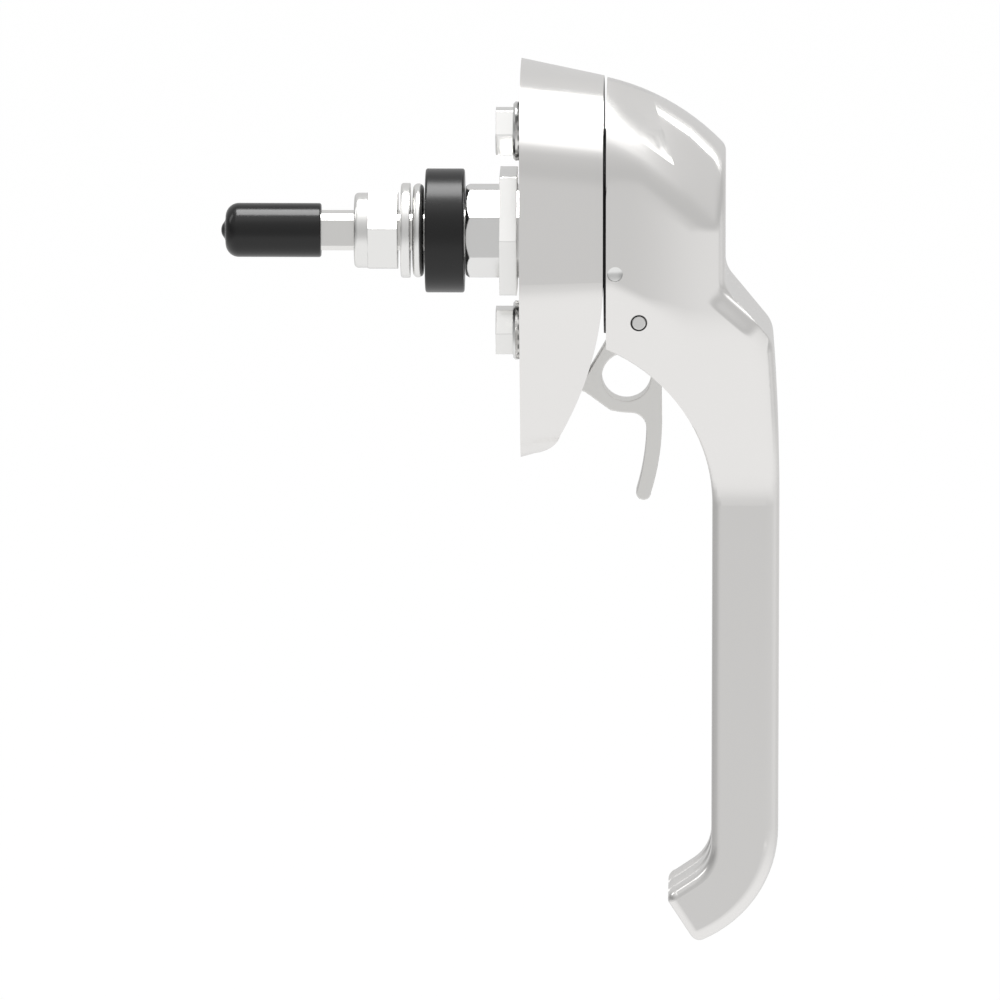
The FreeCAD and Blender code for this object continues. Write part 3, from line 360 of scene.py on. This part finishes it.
def casting_form():
    """The soft modelling of the casting's two sides: the shoulder's roll, the cheek that turns under towards the
    neck, and the hollow below the lower shoulder's edge. Normal is the surface's own normal turned to it."""
    tree, _, result = effect("casting_form", [], [("Normal", "NodeSocketVector")])
    x, side, high = pictured_place(tree)
    own, sideways = own_normal(tree, "Y")
    shaped = rolled_shoulder(tree, x, side, high, own)

    brow = straight(tree, x, 26.7, 38.0, 10.2, 0.4)
    brow_reach = eased(tree, x, 24.0, 40.0, 5.0, 1.6)
    past_brow = eased(tree, maths(tree, "DIVIDE", less(tree, brow, high), brow_reach), -1.0, 1.0)
    turn = cheek_turn(tree, x, high, past_brow)
    dip, near_hollow = hollow_dip(tree, x, high)
    front = eased(tree, plus(tree, x, times(tree, high, 0.10)), 47.5, 52.5, 0.0, 6.0)
    lean = plus(tree, times(tree, turn, CHEEK_LEAN), plus(tree, times(tree, dip, HOLLOW_STEEPEST), front))

    # Only the sides take the lean: the mask reads how squarely a point faces sideways, and is wider at the hollow.
    least = eased(tree, near_hollow, 0.0, 1.0, 0.78, 0.12)
    flat = eased(tree, sideways, least, plus(tree, least, 0.15))
    share = times(tree, times(tree, flat, past_brow), eased(tree, high, -55.0, -49.0))
    shaped = mixed_vector(tree, shaped, leaning_normal(tree, lean, side, 0.0), share)
    tree.links.new(world_normal(tree, shaped), result.inputs["Normal"])
    return tree


def base_form():
    """The broad roll of the base's shoulder, from its roof down into its side."""
    tree, _, result = effect("base_form", [], [("Normal", "NodeSocketVector")])
    x, side, high = pictured_place(tree)
    own, forwards = own_normal(tree, "X")
    below = less(tree, straight(tree, x, 0.0, 20.0, 24.9, 23.0), high)
    roll = levels_over(tree, below, -12.0, 16.0, BASE_ROLL)
    within = times(tree, eased(tree, below, -10.5, -8.5), eased(tree, below, 15.5, 12.5))
    shoulder = leaning_normal(tree, times(tree, roll, 90.0), side, 11.6)
    shaped = mixed_vector(tree, own, shoulder, times(tree, eased(tree, forwards, 0.6, 0.4), within))
    tree.links.new(world_normal(tree, shaped), result.inputs["Normal"])
    return tree


# Small marks: painted shade in the gap round a pin and between a washer's teeth, and a dished pin end

def pin_shadow(place_x, place_z):
    """Shade is 1, and falls in the narrow gap round the pin at place_x and place_z."""
    tree, given, result = effect("pin_shadow", [("Gap Radius", 1.75), ("Gap Width", 0.22)],
                                 [("Shade", "NodeSocketFloat")])
    x, _, z = object_place(tree)
    ahead, rise = less(tree, x, place_x), less(tree, z, place_z)
    radius = maths(tree, "SQRT", plus(tree, times(tree, ahead, ahead), times(tree, rise, rise)))
    off = maths(tree, "ABSOLUTE", less(tree, radius, given.outputs["Gap Radius"]))
    tree.links.new(eased(tree, off, 0.04, given.outputs["Gap Width"], 0.16, 1.0), result.inputs["Shade"])
    return tree


def dished_end(place_x, place_z):
    """The normal of a shallow dish in a pin's end, centred at place_x and place_z."""
    tree, given, result = effect("dished_end", [("Depth", 0.30)], [("Normal", "NodeSocketVector")])
    x, y, z = object_place(tree)
    ahead, rise = [times(tree, times(tree, less(tree, value, place), -1.0), given.outputs["Depth"])
                   for value, place in ((x, place_x), (z, place_z))]
    lean = linked(tree, "ShaderNodeCombineXYZ", [ahead, maths(tree, "SIGN", y), rise]).outputs[0]
    tree.links.new(world_normal(tree, lean), result.inputs["Normal"])
    return tree


def painted_tooth_shade():
    """Shade is 1, with painted shade in the notches between the teeth on the door side of a lock washer."""
    tree, given, result = effect("painted_tooth_shade", [("Teeth", 18.0)], [("Shade", "NodeSocketFloat")])
    within_box = linked(tree, "ShaderNodeTexCoord").outputs["Generated"]
    x, y, z = linked(tree, "ShaderNodeSeparateXYZ", [within_box]).outputs
    turn = maths(tree, "ARCTAN2", less(tree, z, 0.5), less(tree, y, 0.5))
    wave = maths(tree, "SINE", times(tree, turn, given.outputs["Teeth"]))
    # Painted shade in the notches between the teeth.
    notch = times(tree, eased(tree, wave, -0.8, 0.6), eased(tree, x, 0.45, 0.75))
    tree.links.new(eased(tree, notch, 0.0, 1.0, 1.0, 0.30), result.inputs["Shade"])
    return tree


# Finishes

GRAIN_DEPTH = 0.2 * MM
GROOVE_REACH = 3.0 * MM


def finish_of(name, colour, roughness, metallic=1.0, grain=0.02, form=None, shade=None, edge=0.0, shade_in_crevices=False):
    """A plain procedural finish: colour with a slow drift of tone, clouded roughness and fine grain. form gives
    the normal under the grain, shade a share of painted shade that darkens the colour, and edge the rounding of
    sharp edges in millimetres. A finish with crevice shade has its colour darkened in grooves and narrow gaps:
    painted shade."""
    material = bpy.data.materials.new(name)
    material.use_nodes = True
    tree = material.node_tree
    shader = tree.nodes["Principled BSDF"]
    shader.inputs["Metallic"].default_value = metallic

    surface = linked(tree, "ShaderNodeGroup", node_tree=HANDLED)
    surface.inputs["Least"].default_value, surface.inputs["Most"].default_value = roughness
    tree.links.new(surface.outputs["Roughness"], shader.inputs["Roughness"])
    bump = tree.nodes.new("ShaderNodeBump")
    bump.inputs["Strength"].default_value = grain
    bump.inputs["Distance"].default_value = GRAIN_DEPTH
    tree.links.new(surface.outputs["Grain"], bump.inputs["Height"])
    if form:
        shape = linked(tree, "ShaderNodeGroup", node_tree=form)
        tree.links.new(shape.outputs["Normal"], bump.inputs["Normal"])
    elif edge:
        rounding = linked(tree, "ShaderNodeBevel", [edge * MM], samples=6)
        tree.links.new(rounding.outputs["Normal"], bump.inputs["Normal"])
    tree.links.new(bump.outputs[0], shader.inputs["Normal"])

    tone = linked(tree, "ShaderNodeGroup", node_tree=TONE).outputs["Tone"]
    if shade:
        tone = times(tree, tone, linked(tree, "ShaderNodeGroup", node_tree=shade).outputs["Shade"])
    # Painted shade: the colour darkens where ambient occlusion finds grooves and narrow gaps.
    if shade_in_crevices:
        crevice_shade = linked(tree, "ShaderNodeAmbientOcclusion", samples=8)
        crevice_shade.inputs["Distance"].default_value = GROOVE_REACH
        tone = times(tree, tone, eased(tree, crevice_shade.outputs["AO"], 0.15, 0.70, 0.15, 1.0))
    tint = tree.nodes.new("ShaderNodeMix")
    tint.data_type = "RGBA"
    tint.inputs["A"].default_value = (0.0, 0.0, 0.0, 1.0)
    tint.inputs["B"].default_value = (*colour, 1.0)
    tree.links.new(tone, tint.inputs["Factor"])
    tree.links.new(tint.outputs["Result"], shader.inputs["Base Color"])
    return material


def middle(node):
    """The middle of a CAD node's box, in millimetres."""
    low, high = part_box(node)
    return [(low[axis] + high[axis]) / 2 / MM for axis in range(3)]


PLATING, BRIGHT_BLACK = (0.935, 0.922, 0.907), (0.004, 0.004, 0.0042)
TRIGGER_PIN, SPINDLE_PIN = middle("trigger_pin"), middle("spindle_pin")
FINISHES = {
    "base_plating": finish_of("base_plating", PLATING, (0.22, 0.28), form=base_form(), shade_in_crevices=True),
    "handle_plating": finish_of("handle_plating", PLATING, (0.22, 0.28), form=casting_form(), shade_in_crevices=True,
                                shade=pin_shadow(TRIGGER_PIN[0], TRIGGER_PIN[2])),
    "bushing_steel": finish_of("bushing_steel", (0.90, 0.895, 0.885), (0.14, 0.22), edge=0.4),
    "fastener_steel": finish_of("fastener_steel", (0.93, 0.925, 0.91), (0.20, 0.28), edge=0.35),
    "spindle_steel": finish_of("spindle_steel", (0.93, 0.92, 0.90), (0.18, 0.26)),
    "trigger_steel": finish_of("trigger_steel", (0.95, 0.94, 0.915), (0.26, 0.34), edge=0.4),
    "spring_steel": finish_of("spring_steel", (0.62, 0.61, 0.60), (0.22, 0.30)),
    "black_ring": finish_of("black_ring", BRIGHT_BLACK, (0.24, 0.32), metallic=0.0),
    "black_cap": finish_of("black_cap", BRIGHT_BLACK, (0.14, 0.22), metallic=0.0),
    "black_disc": finish_of("black_disc", (0.02, 0.02, 0.02), (0.4, 0.5), metallic=0.0),
    "seal_rubber": finish_of("seal_rubber", (0.025, 0.025, 0.025), (0.5, 0.6), metallic=0.0, grain=0.1),
    "insert_nylon": finish_of("insert_nylon", (0.86, 0.86, 0.85), (0.4, 0.5), metallic=0.0),
}
SLOT_OF = {part["node"]: part["material_slot"] for part in frame["record"]["subparts"]}
for node, piece in NODES.items():
    piece.data.materials.clear()
    piece.data.materials.append(FINISHES[SLOT_OF[node]])

# The spindle pin gets a dished normal, and the two lock washers get painted shade between their teeth.
for node, mark in (("spindle_pin", {"form": dished_end(SPINDLE_PIN[0], SPINDLE_PIN[2])}),
                   ("lock_washer_upper", {"shade": painted_tooth_shade()}),
                   ("lock_washer_lower", {"shade": painted_tooth_shade()})):
    NODES[node].data.materials[0] = finish_of(node, (0.90, 0.90, 0.89), (0.14, 0.22), **mark)


# The end cap, moulded with a small gate nub

def turned_piece(name, profile, slot, body, segments=128):
    """A closed piece turned round the spindle's axis from (x, radius) points in millimetres."""
    mesh = bmesh.new()
    rings = []
    for x, radius in profile:
        if radius == 0:
            rings.append([mesh.verts.new((x * MM, 0.0, 0.0))])
        else:
            rings.append([mesh.verts.new((x * MM, radius * MM * math.cos(2 * math.pi * i / segments),
                                          radius * MM * math.sin(2 * math.pi * i / segments)))
                          for i in range(segments)])
    for first, second in zip(rings, rings[1:]):
        for i in range(segments):
            k = (i + 1) % segments
            corners = [first[i % len(first)], first[k % len(first)], second[k % len(second)],
                       second[i % len(second)]]
            mesh.faces.new(list(dict.fromkeys(corners)))
    bmesh.ops.recalc_face_normals(mesh, faces=mesh.faces)
    for face in mesh.faces:
        face.smooth = True
    for edge in mesh.edges:
        edge.smooth = edge.calc_face_angle(0.0) < math.radians(35)
    data = bpy.data.meshes.new(name)
    mesh.to_mesh(data)
    mesh.free()
    piece = bpy.data.objects.new(name, data)
    bpy.context.scene.collection.objects.link(piece)
    data.materials.append(FINISHES[slot])
    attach(piece, body)
    return piece


def bend(centre_x, centre_radius, radius, start, end, steps=10):
    """Points of a rounded corner, from start to end degrees."""
    return [(centre_x + radius * math.cos(math.radians(start + (end - start) * i / steps)),
             centre_radius + radius * math.sin(math.radians(start + (end - start) * i / steps)))
            for i in range(steps + 1)]


def moulded_cap():
    """The cap over the spindle's tail, with a domed nub on its end and a rounded mouth."""
    (left, _, _), (right, _, outer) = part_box("end_cap")
    left, right, outer = left / MM, right / MM, outer / MM
    nub_length, end_round, mouth_round, bore, end_wall = 1.0, 3.0, 0.5, 4.05, 1.4
    face = left + nub_length
    nub = [(left, 0.0), (left + 0.04, 0.5), (left + 0.16, 0.95), (left + 0.34, 1.32), (left + 0.55, 1.62),
           (left + 0.76, 1.95), (left + 0.91, 2.3), (left + 0.98, 2.65)]
    shell = (bend(face + end_round, outer - end_round, end_round, 180, 90, 16)
             + bend(right - mouth_round, outer - mouth_round, mouth_round, 90, 0))
    inside = [(right, bore), (face + end_wall, bore), (face + end_wall, 0.0)]
    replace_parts(turned_piece("moulded_end_cap", nub + shell + inside, "black_cap", "handle"), "end_cap")


def squeezed_coil():
    """The spring over the trigger's ear, as a copy of the CAD spring's mesh carried by the handle in its place."""
    coil = bpy.data.objects.new("squeezed_coil", NODES["trigger_spring"].data.copy())
    bpy.context.scene.collection.objects.link(coil)
    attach(coil, "handle")
    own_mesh(coil)
    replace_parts(coil, "trigger_spring")


moulded_cap()
squeezed_coil()
